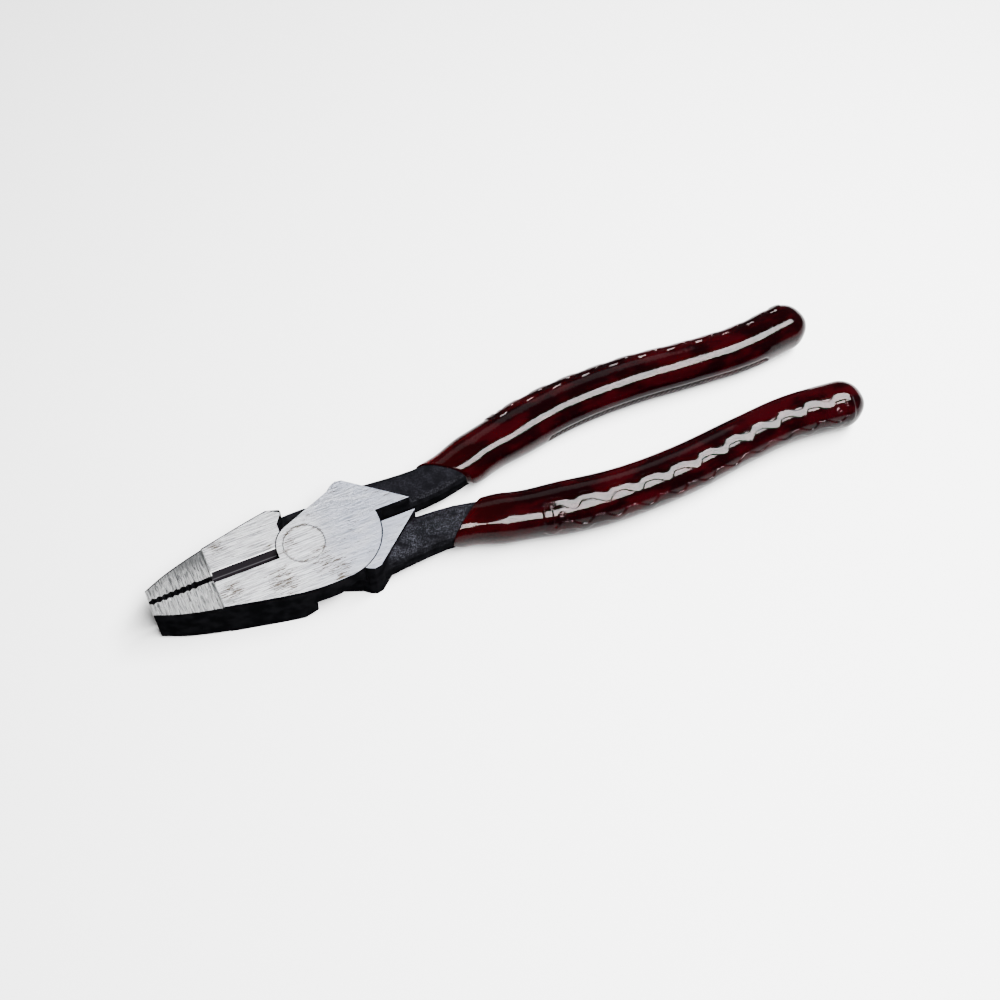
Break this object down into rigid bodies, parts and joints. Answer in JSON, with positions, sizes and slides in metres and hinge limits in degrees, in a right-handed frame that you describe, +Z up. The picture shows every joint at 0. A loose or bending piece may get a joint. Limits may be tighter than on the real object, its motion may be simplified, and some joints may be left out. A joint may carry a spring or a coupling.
{
  "type": "lineman pliers",
  "caption": "Side-cutting lineman pliers with a rounded serrated nose, knives behind it, a flush riveted lap joint and curved moulded grips.",
  "frame": {"origin": "on the rivet's axis, in the plane of the head's lower ground face, which is the plane the closed tool lies on", "axes": "+X from the rivet to the handles, so the jaws point to -X; +Z up, along the rivet; -Y is the side of the jaw of lever_a and of the handle of lever_b"},
  "size_m": [0.2379, 0.0562, 0.016],
  "materials": {
    "lever_steel": "ground flat faces with fine scratches, black forged sides and necks",
    "rivet_steel": "ground flush with the head",
    "grip_vinyl": "glossy translucent dark red, the black tang showing through"
  },
  "bodies": {
    "half_a": {"lever_a": "lever_steel", "rivet": "rivet_steel", "grip_a": "grip_vinyl"},
    "half_b": {"lever_b": "lever_steel", "grip_b": "grip_vinyl"}
  },
  "joints": [
    {"name": "opening", "type": "hinge", "parent": "half_a", "child": "half_b", "pos_m": [0, 0, 0.008], "axis": [0, 0, -1], "range_deg": [0, 30]}
  ]
}
